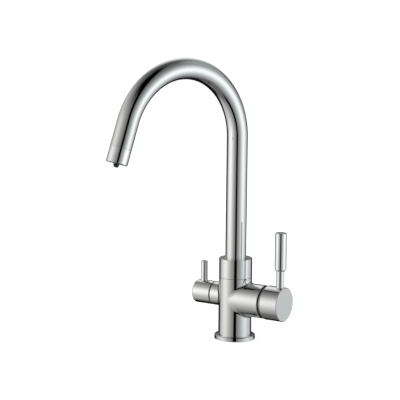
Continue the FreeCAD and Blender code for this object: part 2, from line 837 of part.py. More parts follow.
def spout_collar():
    roof = collar_top - collar_roof
    bore = stem_radius + fit
    recess_top = body_top + thrust_ring_height + fit
    recess = thrust_ring_outer + fit
    socket = tube_radius + fit
    collar = turned([(collar_bottom, recess), (collar_bottom, collar_radius - collar_gap),
                     (collar_bottom + collar_gap, collar_radius), (collar_top - lip, collar_radius),
                     (collar_top, collar_radius - lip), (collar_top, socket), (tube_foot, socket),
                     (tube_foot, collar_ledge_bore), (roof, collar_ledge_bore), (roof, bore),
                     (recess_top, bore), (recess_top, recess)], body_axis, UP)
    height = UP * (body_top + catch_rise)
    return collar.cut(rod(grub_radius, height, height - FRONT * collar_radius))


def spout_grub_screw():
    point = stem_radius - catch_depth + seam
    return grub_screw(grub_length - 1, UP * (body_top + catch_rise) - FRONT * point, FRONT * -1)


def spout_tube():
    outside = swan_neck(tube_radius, tube_foot, outlet_start)
    inside = swan_neck(tube_radius - tube_wall, tube_foot, outlet_start)
    return outside.cut(inside)


def filter_tube():
    foot = chamber_floor + filter_tube_foot
    tip = tip_length - filter_tube_inset
    return swan_neck(filter_tube_radius, foot, tip).cut(swan_neck(filter_tube_bore, foot, tip))


# Outlet, placed along the straight end of the spout

def on_tip(distance):
    return arch_end + tip_direction * distance


def outlet_sleeve():
    spigot = tube_radius - tube_wall - fit
    bore = spigot - outlet_spigot_wall
    start = outlet_start - outlet_spigot_length
    bend = outlet_round * (1 - math.sqrt(0.5))
    return turned([(start, bore), (start, spigot), (outlet_start, spigot),
                   (outlet_start, tube_radius - lip / 2), (outlet_start + lip / 2, tube_radius),
                   (tip_length - outlet_round, tube_radius),
                   (tip_length, tube_radius - outlet_round, tip_length - bend, tube_radius - bend),
                   (tip_length, outlet_lip_radius), (insert_end, outlet_lip_radius),
                   (insert_end, outlet_bore), (outlet_floor, outlet_bore), (outlet_floor, bore)],
                  arch_end, tip_direction)


def outlet_seal():
    return pipe(outlet_bore - fit, outlet_seal_inner, on_tip(outlet_floor), on_tip(insert_start))


def aerator_insert():
    """Ribbed ring that straightens the mixed water round the filter nozzle."""
    ring = pipe(outlet_bore - fit, insert_hub_inner, on_tip(insert_start), on_tip(insert_end))
    face = on_tip(insert_end)
    back = on_tip(insert_start)
    cells = []
    for inner, outer in ((insert_hub_outer, insert_web_radius),
                         (insert_web_radius + insert_web_thickness, insert_rim_inner + 0.4)):
        cells.append(pipe(outer, inner, back, face))
    ribs = []
    for k in range(insert_ribs):
        rib = block((insert_end - insert_rib_depth, insert_end),
                    (insert_hub_inner + 0.5, insert_rim_inner + 0.8),
                    (-insert_rib_thickness / 2, insert_rib_thickness / 2))
        rib.rotate(Vector(0, 0, 0), Vector(1, 0, 0), 360 / insert_ribs * k)
        ribs.append(placed(rib, arch_end, tip_direction))
    return ring.cut(cells).multiFuse(ribs).removeSplitter()


def filter_nozzle():
    body_end = tip_length - outlet_lip
    start = body_end - nozzle_body_length
    tube_end = tip_length - filter_tube_inset
    neck_end = body_end + nozzle_neck_length + outlet_lip
    tip = tip_length + nozzle_reach
    return turned([(start, filter_tube_radius + fit), (start, nozzle_body_radius),
                   (body_end, nozzle_body_radius), (body_end, nozzle_neck_radius),
                   (neck_end, nozzle_neck_radius), (tip - lip, nozzle_tip_radius),
                   (tip, nozzle_tip_radius - lip), (tip, nozzle_bore), (tube_end, nozzle_bore),
                   (tube_end, filter_tube_radius + fit)], arch_end, tip_direction)


FIXED_AND_MIXER = (
    base_ring, base_gasket, body_casting, stem_o_rings, spout_thrust_ring,
    filter_nipple, filter_nipple_o_ring,
    cartridge_case, cartridge_port_seals, fixed_mixing_disc, moving_mixing_disc, disc_carrier,
    cartridge_turner, cartridge_pivot_pin, cartridge_nut, dome_bonnet,
    cartridge_stem, mixer_knob, mixer_grub_screw, mixer_lever_rod, mixer_lever_grip,
)
FILTER_VALVE = (
    filter_arm_sleeve, filter_valve_washer, filter_headwork, filter_fixed_disc, filter_moving_disc,
    filter_spindle, filter_spindle_o_ring, filter_spindle_clip, filter_handle, filter_lever_rod,
    filter_grub_screw,
)
SPOUT = (
    spout_collar, spout_grub_screw, spout_tube, filter_tube,
    outlet_sleeve, outlet_seal, aerator_insert, filter_nozzle,
)

for piece in FIXED_AND_MIXER + FILTER_VALVE:
    piece().exportStep("parts/" + piece.__name__ + ".step")
for piece in SPOUT:
    shape = piece()
    shape.rotate(body_axis, UP, spout_rest_turn)
    shape.exportStep("parts/" + piece.__name__ + ".step")
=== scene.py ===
import math

import bpy
from mathutils import Matrix, Vector


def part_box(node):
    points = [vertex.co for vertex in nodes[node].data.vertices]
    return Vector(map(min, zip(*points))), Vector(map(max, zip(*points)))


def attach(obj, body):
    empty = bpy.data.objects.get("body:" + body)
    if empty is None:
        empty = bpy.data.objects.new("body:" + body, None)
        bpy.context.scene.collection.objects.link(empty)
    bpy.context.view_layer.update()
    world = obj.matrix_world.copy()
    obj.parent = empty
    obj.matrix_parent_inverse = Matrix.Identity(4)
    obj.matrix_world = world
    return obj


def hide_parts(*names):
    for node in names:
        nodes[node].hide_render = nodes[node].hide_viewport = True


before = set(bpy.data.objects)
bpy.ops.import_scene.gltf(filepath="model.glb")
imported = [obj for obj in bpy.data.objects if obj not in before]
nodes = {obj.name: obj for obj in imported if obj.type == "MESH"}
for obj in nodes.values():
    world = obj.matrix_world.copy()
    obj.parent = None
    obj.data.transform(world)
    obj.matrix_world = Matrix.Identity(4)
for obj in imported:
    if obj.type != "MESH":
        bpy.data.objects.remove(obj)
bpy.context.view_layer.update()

# Camera
# The tap stands at eye level on a packshot table, seen from its front right with a long lens.
# The table's camera was not quite level, so it has a turn of half a degree about its own line of sight.
camera_place = Vector((0.96761, -1.58227, 0.46334))
camera_aim = Vector((-0.03707, -0.02267, 0.16737))
line_of_sight = (camera_aim - camera_place).to_track_quat("-Z", "Y").to_matrix()
line_of_sight = line_of_sight @ Matrix.Rotation(math.radians(0.56), 3, "Z")
bpy.ops.object.camera_add(location=camera_place, rotation=line_of_sight.to_euler())
camera = bpy.context.object
camera.name = "packshot_camera"
camera.data.sensor_width = 36.0
camera.data.lens = 141.83
camera.data.clip_end = 60.0
bpy.context.scene.camera = camera
bpy.context.scene.view_settings.view_transform = "Standard"


# White background and soft room light
# A white void behind the tap, and an even light a little below it that plastics and rubber are seen in.
# The softboxes add the rest, so a written colour comes out about as it is written.
def add_node(graph, kind, feeds=(), **settings):
    """Adds a node, sets what is named, and links (socket, source) pairs into it."""
    node = graph.nodes.new(kind)
    for name, value in settings.items():
        setattr(node, name, value)
    for socket, source in feeds:
        if isinstance(source, bpy.types.NodeSocket):
            graph.links.new(source, node.inputs[socket])
        else:
            node.inputs[socket].default_value = source
    return node


def blank_graph(owner):
    owner.use_nodes = True
    owner.node_tree.nodes.clear()
    return owner.node_tree


def seen_directly(graph):
    """1 for what the camera sees, also by a mirror or through glass, and 0 for what gives light."""
    ray = add_node(graph, "ShaderNodeLightPath")
    seen = ray.outputs["Is Camera Ray"]
    for kind in ("Is Glossy Ray", "Is Transmission Ray"):
        seen = add_node(graph, "ShaderNodeMath", [(0, seen), (1, ray.outputs[kind])],
                        operation="MAXIMUM").outputs[0]
    return seen


soft_light = 0.80
room = bpy.data.worlds.new("white_room")
bpy.context.scene.world = room
room.cycles.sampling_method = "NONE"
graph = blank_graph(room)
strength = add_node(graph, "ShaderNodeMapRange",
                    [("Value", seen_directly(graph)), ("To Min", soft_light), ("To Max", 1.0)])
void = add_node(graph, "ShaderNodeBackground", [("Color", (1, 1, 1, 1)), ("Strength", strength.outputs[0])])
add_node(graph, "ShaderNodeOutputWorld", [("Surface", void.outputs[0])])

# Light tent
# A ball of white cloth round the table, with a lamp close behind it at each side. It has a dark slot that
# the lens looks through, an opening overhead, a dark curtain low at the back and a dim table below.
# Only polished surfaces see it, because the background and the soft light come from the white room.
tent_centre = Vector((0, 0, 0.17))
tent_radius = 0.9
front = math.degrees(math.atan2(camera_place.y, camera_place.x))


def from_front(azimuth, elevation):
    """Direction at so many degrees round from the camera, and up."""
    turn = math.radians(front + azimuth)
    rise = math.radians(elevation)
    return (math.cos(turn) * math.cos(rise), math.sin(turn) * math.cos(rise), math.sin(rise))


bpy.ops.mesh.primitive_uv_sphere_add(segments=96, ring_count=48, radius=tent_radius, location=tent_centre)
tent = bpy.context.object
tent.name = "light_tent"
tent.visible_camera = tent.visible_diffuse = tent.visible_shadow = tent.visible_transmission = False
cloth = bpy.data.materials.new("lit_tent_cloth")
cloth.cycles.emission_sampling = "NONE"
tent.data.materials.append(cloth)
graph = blank_graph(cloth)
place = add_node(graph, "ShaderNodeTexCoord").outputs["Object"]
outward = add_node(graph, "ShaderNodeVectorMath", [(0, place)], operation="NORMALIZE").outputs[0]


def tent_along(azimuth, elevation):
    """How far the place on the cloth lies along a direction, from -1 to 1."""
    return add_node(graph, "ShaderNodeVectorMath", [(0, outward), (1, from_front(azimuth, elevation))],
                    operation="DOT_PRODUCT").outputs["Value"]


def tent_angle(azimuth, elevation):
    """Degrees between the place on the cloth and a direction."""
    along = tent_along(azimuth, elevation)
    angle = add_node(graph, "ShaderNodeMath", [(0, along)], operation="ARCCOSINE").outputs[0]
    return add_node(graph, "ShaderNodeMath", [(0, angle)], operation="DEGREES").outputs[0]


def tent_step(value, low, high, at_low, at_high):
    """Soft edge from one level to another."""
    return add_node(graph, "ShaderNodeMapRange",
                    [("Value", value), ("From Min", low), ("From Max", high),
                     ("To Min", at_low), ("To Max", at_high)],
                    interpolation_type="SMOOTHSTEP").outputs[0]


def tent_math(operation, first, second=0.0):
    return add_node(graph, "ShaderNodeMath", [(0, first), (1, second)], operation=operation).outputs[0]


lamp_level = 1.0
lamp_spread = 45.0


def lamp_behind_cloth(azimuth, elevation):
    """Light of a lamp close behind the cloth, which falls with the cube of the distance from it."""
    way = tent_math("DIVIDE", tent_angle(azimuth, elevation), lamp_spread)
    distance = tent_math("SQRT", tent_math("ADD", tent_math("POWER", way, 2.0), 1.0))
    return tent_math("DIVIDE", lamp_level, tent_math("POWER", distance, 3.0))


glow = tent_math("MAXIMUM", lamp_behind_cloth(-75, 5), lamp_behind_cloth(75, 5))
height = add_node(graph, "ShaderNodeSeparateXYZ", [("Vector", outward)]).outputs["Z"]
low_is_brighter = add_node(graph, "ShaderNodeMapRange",
                           [("Value", height), ("From Min", -0.9), ("From Max", 0.9), ("To Min", 2.0),
                            ("To Max", 0.85)]).outputs[0]
glow = tent_math("MULTIPLY", glow, low_is_brighter)

# Parts of the cloth that are lit by themselves, from the middle of each to where its light ends.
backdrop = tent_step(tent_angle(185, 35), 0, 50, 1.1, 0.0)
backdrop_foot = tent_step(tent_angle(175, -5), 25, 45, 1.6, 0.0)
left_wall = tent_step(tent_angle(-100, -5), 30, 80, 0.75, 0.0)
right_wall = tent_step(tent_angle(115, -12), 10, 34, 0.76, 0.0)
right_corner = tent_step(tent_angle(115, 40), 10, 45, 0.45, 0.0)
for bright_part in (backdrop, backdrop_foot, left_wall, right_wall, right_corner):
    glow = tent_math("MAXIMUM", glow, bright_part)

# Parts that are darker than the cloth round them.
gap_in_cloth = tent_step(tent_angle(155, 12), 5, 30, 0.1, 1.0)
opening_overhead = tent_step(tent_angle(-18, 66), 5, 32, 0.0, 1.0)
curtain_rail = tent_step(tent_angle(180, 8), 5, 25, 0.2, 1.0)
left_fold = tent_step(tent_angle(-130, 5), 15, 28, 0.65, 1.0)
for dark_part in (gap_in_cloth, opening_overhead, curtain_rail, left_fold):
    glow = tent_math("MULTIPLY", glow, dark_part)

# The dark curtain hangs round the back up to a little above the horizon.
curtain_middle = -176
curtain_light = 0.015
round_from_back = tent_math("ABSOLUTE", tent_math("ARCTAN2", tent_along(curtain_middle + 90, 0),
                                                  tent_along(curtain_middle, 0)))
beside_curtain = tent_step(round_from_back, math.radians(42), math.radians(66), 0.0, 1.0)
above_curtain = tent_step(height, 0.0, 0.16, 0.0, 1.0)
curtain = tent_math("MULTIPLY", tent_math("MAXIMUM", beside_curtain, above_curtain), 1.0 - curtain_light)
glow = tent_math("MULTIPLY", glow, tent_math("ADD", curtain, curtain_light))

# The slot is narrow and upright, and its two edges are soft.
slot_half_width = 0.128
slot_edge_end = 0.190
slot_light = 0.01
sideways = tent_math("ABSOLUTE", tent_along(90.4, -1.8))
slot = tent_step(sideways, slot_half_width, slot_edge_end, slot_light, 1.0)
behind_slot = tent_step(tent_angle(1.5, 0), 78, 96, 0.0, 1.0)
glow = tent_math("MULTIPLY", glow, tent_math("MAXIMUM", slot, behind_slot))

# The table below, and the colour of the light from the left to the right.
table_light = 0.173
table = tent_step(height, -0.94, -0.82, 1.0, 0.0)
brightness = tent_math("ADD", tent_math("MULTIPLY", glow, tent_math("SUBTRACT", 1.0, table)),
                       tent_math("MULTIPLY", table, table_light))
warm_white = (1.0, 0.996, 0.985, 1)
cool_white = (0.958, 0.99, 1.0, 1)
daylight = add_node(graph, "ShaderNodeMix",
                    [("Factor", tent_step(tent_along(90, 0), -0.5, 0.7, 0.0, 1.0)), ("A", warm_white),
                     ("B", cool_white)], data_type="RGBA")
lit = add_node(graph, "ShaderNodeEmission",
               [("Color", daylight.outputs["Result"]), ("Strength", brightness)])
add_node(graph, "ShaderNodeOutputMaterial", [("Surface", lit.outputs[0])])

# Table top and lamps
# A white laminate top under the tap, which takes its soft shadow. It glows a little to the eye only.
# Two softboxes stand at the sides and light what isn't polished. They are 1.3 m wide and 1.8 m away.
bpy.ops.mesh.primitive_plane_add(size=24.0, location=(0, 0, -0.0003))
floor = bpy.context.object
floor.name = "table_top"
floor.visible_glossy = False
laminate = bpy.data.materials.new("white_laminate")
floor.data.materials.append(laminate)
graph = blank_graph(laminate)
place = add_node(graph, "ShaderNodeTexCoord").outputs["Object"]
grain = add_node(graph, "ShaderNodeTexNoise", [("Vector", place), ("Scale", 2.0)])
white = add_node(graph, "ShaderNodeMix",
                 [("Factor", grain.outputs[0]), ("A", (0.80, 0.80, 0.80, 1)), ("B", (0.79, 0.79, 0.79, 1))],
                 data_type="RGBA")
top = add_node(graph, "ShaderNodeBsdfDiffuse", [("Color", white.outputs["Result"])])
eye_glow = 0.46
glow = add_node(graph, "ShaderNodeEmission",
                [("Color", (eye_glow, eye_glow, eye_glow, 1)), ("Strength", seen_directly(graph))])
both = add_node(graph, "ShaderNodeAddShader", [(0, top.outputs[0]), (1, glow.outputs[0])])
add_node(graph, "ShaderNodeOutputMaterial", [("Surface", both.outputs[0])])
for side, azimuth in (("left", -75), ("right", 79)):
    direction = Vector(from_front(azimuth, 28))
    bpy.ops.object.light_add(type="AREA", location=tent_centre + direction * 1.8,
                             rotation=direction.to_track_quat("Z", "Y").to_euler())
    softbox = bpy.context.object
    softbox.name = "softbox_" + side
    softbox.data.size = 1.3
    softbox.data.energy = 11.0
    softbox.visible_glossy = False


# Base ring
# A low ring that covers the hole in the worktop, turned from brass bar and chrome plated like the rest.
# The body stands in it, and its underside has a groove for the gasket.
MM = 0.001
SIDES = 192


def colour(code):
    """Linear colour from an sRGB hex value."""
    parts = [int(code[place:place + 2], 16) / 255 for place in (1, 3, 5)]
    linear = [part / 12.92 if part <= 0.04045 else ((part + 0.055) / 1.055) ** 2.4 for part in parts]
    return (*linear, 1.0)


def finish_with(piece, material):
    piece.data.materials.clear()
    piece.data.materials.append(material)


def turn_piece(name, stations, start=(0, 0, 0), along=(0, 0, 1)):
    """A circle drawn out through stations, (distance, radius) in millimetres. Open ends are closed."""
    bpy.ops.object.select_all(action="DESELECT")
    distance, radius = stations[0]
    bpy.ops.mesh.primitive_circle_add(vertices=SIDES, radius=radius * MM, location=(0, 0, 0))
    piece = bpy.context.object
    piece.name = name
    bpy.ops.object.mode_set(mode="EDIT")
    bpy.ops.mesh.select_mode(type="EDGE")
    bpy.ops.mesh.select_all(action="SELECT")
    bpy.ops.transform.translate(value=(0, 0, distance * MM))
    for next_distance, next_radius in stations[1:]:
        onward = (0, 0, (next_distance - distance) * MM)
        bpy.ops.mesh.extrude_region_move(TRANSFORM_OT_translate={"value": onward})
        scale = next_radius / radius
        bpy.ops.transform.resize(value=(scale, scale, 1), center_override=(0, 0, next_distance * MM))
        distance, radius = next_distance, next_radius
    bpy.ops.mesh.select_all(action="SELECT")
    bpy.ops.mesh.remove_doubles(threshold=0.000002)
    bpy.ops.mesh.select_all(action="SELECT")
    bpy.ops.mesh.fill_holes(sides=0)
    bpy.ops.mesh.select_all(action="SELECT")
    bpy.ops.mesh.normals_make_consistent(inside=False)
    bpy.ops.object.mode_set(mode="OBJECT")
    piece.rotation_euler = Vector(along).to_track_quat("Z", "Y").to_euler()
    piece.location = Vector(start) * MM
    bpy.ops.object.transform_apply(location=True, rotation=True, scale=True)
    return piece


def apply_modifier(piece, kind, **settings):
    bpy.ops.object.select_all(action="DESELECT")
    bpy.context.view_layer.objects.active = piece
    piece.select_set(True)
    modifier = piece.modifiers.new(kind.lower(), kind)
    for name, value in settings.items():
        setattr(modifier, name, value)
    bpy.ops.object.modifier_apply(modifier=modifier.name)


def break_edges(piece, width):
    """Small rounding that plating gives to every turned edge."""
    apply_modifier(piece, "BEVEL", width=width * MM, segments=3, limit_method="ANGLE",
                   angle_limit=math.radians(28))


def cut_with(piece, cutter, operation="DIFFERENCE"):
    apply_modifier(piece, "BOOLEAN", object=cutter, operation=operation, solver="EXACT")
    bpy.data.objects.remove(cutter)


def drill(piece, radius, start, end):
    """Drilled hole between two points in millimetres."""
    start, end = Vector(start) * MM, Vector(end) * MM
    span = end - start
    bpy.ops.object.select_all(action="DESELECT")
    bpy.ops.mesh.primitive_cylinder_add(vertices=64, radius=radius * MM, depth=span.length,
                                        location=(start + end) / 2,
                                        rotation=span.to_track_quat("Z", "Y").to_euler())
    bit = bpy.context.object
    bpy.ops.object.transform_apply(location=True, rotation=True, scale=True)
    cut_with(piece, bit)


def square_hole(piece, low, high):
    """Square-sided hole between two corners in millimetres."""
    low, high = Vector(low) * MM, Vector(high) * MM
    bpy.ops.object.select_all(action="DESELECT")
    bpy.ops.mesh.primitive_cube_add(size=1.0, location=(low + high) / 2)
    broach = bpy.context.object
    broach.scale = high - low
    bpy.ops.object.transform_apply(location=True, rotation=True, scale=True)
    cut_with(piece, broach)


def polish(piece):
    """Joins points less than a micron apart, and shades smooth but keeps flat faces flat."""
    bpy.ops.object.select_all(action="DESELECT")
    bpy.context.view_layer.objects.active = piece
    piece.select_set(True)
    bpy.ops.object.mode_set(mode="EDIT")
    bpy.ops.mesh.select_all(action="SELECT")
    bpy.ops.mesh.remove_doubles(threshold=0.001 * MM)
    bpy.ops.object.mode_set(mode="OBJECT")
    bpy.ops.object.shade_smooth_by_angle(angle=math.radians(34))
    apply_modifier(piece, "WEIGHTED_NORMAL", mode="FACE_AREA", weight=50, keep_sharp=True)


def fine_noise(graph, place, scale, detail):
    return add_node(graph, "ShaderNodeTexNoise",
                    [("Vector", place), ("Scale", scale), ("Detail", detail)]).outputs[0]


def two_tones(graph, factor, dark, light):
    """Colour between two near ones."""
    return add_node(graph, "ShaderNodeMix", [("Factor", factor), ("A", colour(dark)), ("B", colour(light))],
                    data_type="RGBA").outputs["Result"]


def chrome_plate(name, dark, light):
    """Cool grey mirror with the slight unevenness of buffing, which shows only in reflections."""
    material = bpy.data.materials.new(name)
    graph = blank_graph(material)
    place = add_node(graph, "ShaderNodeTexCoord").outputs["Object"]
    buffing = fine_noise(graph, place, 70.0, 3.0)
    haze = add_node(graph, "ShaderNodeMapRange",
                    [("Value", buffing), ("From Min", 0.3), ("From Max", 0.7),
                     ("To Min", 0.03), ("To Max", 0.06)])
    ripple = fine_noise(graph, place, 130.0, 1.0)
    skin = add_node(graph, "ShaderNodeBump",
                    [("Height", ripple), ("Strength", 0.25), ("Distance", 0.000012)])
    plate = add_node(graph, "ShaderNodeBsdfPrincipled",
                     [("Base Color", two_tones(graph, buffing, dark, light)), ("Metallic", 1.0),
                      ("Roughness", haze.outputs[0]), ("Normal", skin.outputs[0])])
    add_node(graph, "ShaderNodeOutputMaterial", [("Surface", plate.outputs[0])])
    return material


# Polished chrome: bright decorative chromium over nickel on brass, 0.3 microns thick and buffed first.
# The levers, the grip and the outlet are small bar-turned pieces, given a lighter copy as a painted
# highlight.
chrome = chrome_plate("polished_chrome_plate", "#D8D9D8", "#DBDCDB")
painted_highlight_chrome = chrome_plate("painted_highlight_chrome_plate", "#E5E6E5", "#E8E9E8")


def shade_paint_metal(name, dark, light):
    """Satin plate of two greys in fine patches, which paints the shade of a gap."""
    material = bpy.data.materials.new(name)
    graph = blank_graph(material)
    place = add_node(graph, "ShaderNodeTexCoord").outputs["Object"]
    haze = fine_noise(graph, place, 600.0, 2.0)
    satin = add_node(graph, "ShaderNodeMapRange", [("Value", haze), ("To Min", 0.35), ("To Max", 0.5)])
    plate = add_node(graph, "ShaderNodeBsdfPrincipled",
                     [("Base Color", two_tones(graph, haze, dark, light)), ("Metallic", 1.0),
                      ("Roughness", satin.outputs[0])])
    add_node(graph, "ShaderNodeOutputMaterial", [("Surface", plate.outputs[0])])
    return material


# Painted gap shade: faces inside a narrow gap get a dark grey satin plate that paints the shade there, so
# a seam reads as a dark line.
gap_shade_paint = shade_paint_metal("painted_gap_shade_plate", "#3C3D3E", "#4A4B4B")


def paint_shade_on(piece, material, in_gap):
    """Gives the painted shade of a gap to the faces whose centre, in millimetres, is in that gap."""
    piece.data.materials.append(material)
    slot_index = len(piece.data.materials) - 1
    for face in piece.data.polygons:
        if in_gap(face.center * 1000):
            face.material_index = slot_index


base_ring = turn_piece("base_ring_turned", [
    (0, 17.05), (0, 20.55), (1.6, 20.55), (1.6, 23.25), (0, 23.25), (0, 24.5), (4.0, 24.5), (5.0, 23.5),
    (5.0, 17.05), (0, 17.05)])
break_edges(base_ring, 0.2)
polish(base_ring)
finish_with(base_ring, chrome)
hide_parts("base_ring")
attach(base_ring, "tap_body")

# Body
# The hollow brass casting that everything is fixed to: a trunk, a mixer arm as thick as the trunk, and a
# thinner boss for the filter valve. It is cast, turned where pieces fit, buffed over the blended corners
# and chrome plated.
mixer_z = 49.1
filter_z = 51.4
body = turn_piece("body_casting_blended", [
    (0, 17.0), (5.0, 17.0), (5.0, 20.0), (20.0, 20.0), (75.0, 20.0), (75.0, 15.9), (77.5, 15.9),
    (77.5, 13.85), (79.8, 13.85), (79.8, 15.9), (80.7, 15.9), (80.7, 14.2), (85.3, 14.2), (85.3, 15.9),
    (86.5, 15.9), (86.5, 13.85), (88.8, 13.85), (88.8, 15.9), (90.2, 15.9), (90.5, 15.6), (90.5, 10.8),
    (69.0, 10.8)])
arm = turn_piece("mixer_arm", [
    (0, 20.0), (41.1, 20.0), (41.5, 19.6), (41.5, 18.15), (32.0, 18.15), (32.0, 17.55), (12.0, 17.55)],
    (0, 0, mixer_z), (1, 0, 0))


def select_faces(piece, wanted):
    """Selects the faces whose centre, in millimetres, is wanted."""
    bpy.ops.object.select_all(action="DESELECT")
    bpy.context.view_layer.objects.active = piece
    piece.select_set(True)
    bpy.ops.object.mode_set(mode="EDIT")
    bpy.ops.mesh.select_mode(type="FACE")
    bpy.ops.mesh.select_all(action="DESELECT")
    bpy.ops.object.mode_set(mode="OBJECT")
    for face in piece.data.polygons:
        face.select = wanted(face.center * 1000)
    bpy.ops.object.mode_set(mode="EDIT")


def on_trunk_wall(centre):
    return centre.x > 0 and 5.1 < centre.z < 74.9 and math.hypot(centre.x, centre.y) > 19.9


def on_arm_wall(centre):
    return centre.x < 41.0 and math.hypot(centre.y, centre.z - mixer_z) > 19.9


def mitre(piece, on_wall, waste):
    """Cuts a wall along both 45 degree planes of the joint and takes the waste away."""
    for slope in (1, -1):
        select_faces(piece, on_wall)
        bpy.ops.mesh.bisect(plane_co=(0, 0, mixer_z * MM), plane_no=(1, 0, -slope), threshold=0.0000005)
        bpy.ops.object.mode_set(mode="OBJECT")
    select_faces(piece, lambda centre: on_wall(centre) and waste(centre))
    bpy.ops.mesh.delete(type="FACE")
    bpy.ops.object.mode_set(mode="OBJECT")


select_faces(arm, lambda centre: centre.x < 0.001)
bpy.ops.mesh.delete(type="FACE")
bpy.ops.object.mode_set(mode="OBJECT")
mitre(body, on_trunk_wall, lambda centre: centre.x > abs(centre.z - mixer_z))
mitre(arm, on_arm_wall, lambda centre: centre.x < abs(centre.z - mixer_z))
bpy.ops.object.select_all(action="DESELECT")
arm.select_set(True)
body.select_set(True)
bpy.context.view_layer.objects.active = body
bpy.ops.object.join()
bpy.ops.object.mode_set(mode="EDIT")
bpy.ops.mesh.select_all(action="SELECT")
bpy.ops.mesh.remove_doubles(threshold=0.000004)
bpy.ops.mesh.select_all(action="SELECT")
bpy.ops.mesh.normals_make_consistent(inside=False)
bpy.ops.object.mode_set(mode="OBJECT")


def on_crease(point):
    """Whether a point, in millimetres, is where the arm's wall meets the trunk's."""
    return (abs(point.x - abs(point.z - mixer_z)) < 0.005
            and abs(math.hypot(point.x, point.y) - 20) < 0.02)


# The blend starts from nothing beside the arm, where the walls meet smoothly, and is full above and below.
blend = body.data.attributes.new("bevel_weight_edge", "FLOAT", "EDGE")
points = body.data.vertices
for edge in body.data.edges:
    ends = [points[index].co * 1000 for index in edge.vertices]
    if all(on_crease(end) for end in ends):
        rise = abs((ends[0].z + ends[1].z) / 2 - mixer_z)
        blend.data[edge.index].value = 0.0 if rise < 0.9 else min(1.0, 0.28 * rise)
apply_modifier(body, "BEVEL", width=2.8 * MM, segments=10, limit_method="WEIGHT", use_clamp_overlap=False)
break_edges(body, 0.15)

# Threads in the underside for three hoses and the stud, and the water ways to the cartridge, the valve and
# the stem.
for side in (-1, 1):
    drill(body, 4.5, (4, side * 9, -1), (4, side * 9, 14))
    drill(body, 3.5, (4, side * 9, 13), (4, side * 9, 54))
    drill(body, 2.8, (4, side * 7.5, 54.1), (13, side * 7.5, 54.1))
drill(body, 2.6, (7.8, 0, 44.1), (13, 0, 44.1))
drill(body, 2.75, (7.8, 0, 41.5), (7.8, 0, 70))
drill(body, 4.5, (-9, 0, -1), (-9, 0, 14))
drill(body, 2.5, (-9, 0, 13), (-9, 0, 53))
drill(body, 3.4, (12, 0, -1), (12, 0, 14))
boss = turn_piece("filter_boss", [(10.0, 13.2), (24.0, 13.2)], (0, 0, filter_z), (-1, 0, 0))
break_edges(boss, 0.15)
cut_with(body, boss, "UNION")
drill(body, 8.0, (-14, 0, filter_z), (-25, 0, filter_z))
polish(body)
finish_with(body, chrome)
# The trunk's top under the collar and the arm's end face get the dark painted gap shade.
paint_shade_on(body, gap_shade_paint, lambda centre: centre.z > 74.95 or centre.x > 41.45)
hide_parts("body_casting")
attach(body, "tap_body")

# Mixer dome
# A thin chrome cap screwed into the arm's mouth over the cartridge. Its short neck shows between the arm and
# the knob, and its dome has the lever's pivot at its centre, so the knob keeps clear of it as it tilts.
pivot_x = 33.0
knob_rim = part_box("mixer_knob")[0].x * 1000
knob_bore = 18.2
running_gap = 0.6
neck_radius = 17.6
skirt_bore = 16.6
skirt_end = 37.5
stem_opening = 12.0
dome_wall = 1.2
dome_radius = math.hypot(knob_bore, knob_rim - pivot_x) - running_gap
neck_angle = math.asin(neck_radius / dome_radius)
opening_angle = math.asin(stem_opening / dome_radius)
inner_radius = dome_radius - dome_wall
inner_skirt = math.asin(skirt_bore / inner_radius)
inner_opening = math.asin(stem_opening / inner_radius)
stations = [(skirt_end, skirt_bore), (skirt_end, 18.1), (41.5, 18.1), (41.5, neck_radius)]
for step in range(11):
    angle = neck_angle + (opening_angle - neck_angle) * step / 10
    stations.append((pivot_x + dome_radius * math.cos(angle), dome_radius * math.sin(angle)))
for step in range(9):
    angle = inner_opening + (inner_skirt - inner_opening) * step / 8
    stations.append((pivot_x + inner_radius * math.cos(angle), inner_radius * math.sin(angle)))
stations.append((skirt_end, skirt_bore))
dome = turn_piece("dome_cap", stations, (0, 0, mixer_z), (1, 0, 0))
break_edges(dome, 0.12)
polish(dome)
finish_with(dome, chrome)
# Inside the arm's mouth the dome gets the dark painted gap shade.
paint_shade_on(dome, gap_shade_paint, lambda centre: centre.x < 41.55)
# Where the neck shows in the gap it gets a mid-grey satin plate, a painted shade of the groove between arm
# and knob.
neck_shade_paint = shade_paint_metal("painted_neck_shade_plate", "#B4B6B6", "#BEC0C0")
paint_shade_on(dome, neck_shade_paint,
             lambda centre: 41.55 < centre.x < 44.9 and math.hypot(centre.y, centre.z - mixer_z) > 17)
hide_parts("dome_bonnet")
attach(dome, "tap_body")

# Mixer knob
# A thick cup turned from brass bar and plated. It sits on the cartridge's square stem, held by a grub screw
# from below, and its wall has a drilled seat for the lever. Its rim stands 0.8 mm further out than the
# solid's, which gives the gap to the arm its width. Its end face is plain.
knob_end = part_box("mixer_knob")[1].x * 1000
lever_x = knob_end - 6.7
knob_edge = knob_rim + 0.8
knob = turn_piece("knob_turned", [
    (knob_end, 19.7), (knob_end - 0.8, 20.5), (knob_edge + 0.3, 20.5), (knob_edge, 20.2), (knob_edge, 18.5),
    (knob_edge + 0.3, knob_bore), (knob_rim + 10.5, knob_bore)], (0, 0, mixer_z), (1, 0, 0))
break_edges(knob, 0.15)
square_hole(knob, (knob_rim + 10, -3.85, mixer_z - 3.85), (lever_x + 2.3, 3.85, mixer_z + 3.85))
drill(knob, 4.8, (lever_x, 0, mixer_z + 19.3), (lever_x, 0, mixer_z + 22))
drill(knob, 3.0, (lever_x, 0, mixer_z + 8.5), (lever_x, 0, mixer_z + 20))
drill(knob, 2.0, (knob_end - 9, 0, mixer_z - 22), (knob_end - 9, 0, mixer_z))
polish(knob)
finish_with(knob, chrome)


def in_knob_gap(centre):
    """On the knob's rim, or in its hollow."""
    on_rim = centre.x < knob_edge + 0.02
    in_hollow = centre.x < knob_rim + 11 and math.hypot(centre.y, centre.z - mixer_z) < 18.3
    return on_rim or in_hollow


# The knob's rim and hollow get the dark painted gap shade.
paint_shade_on(knob, gap_shade_paint, in_knob_gap)
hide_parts("mixer_knob")
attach(knob, "mixer_lever")

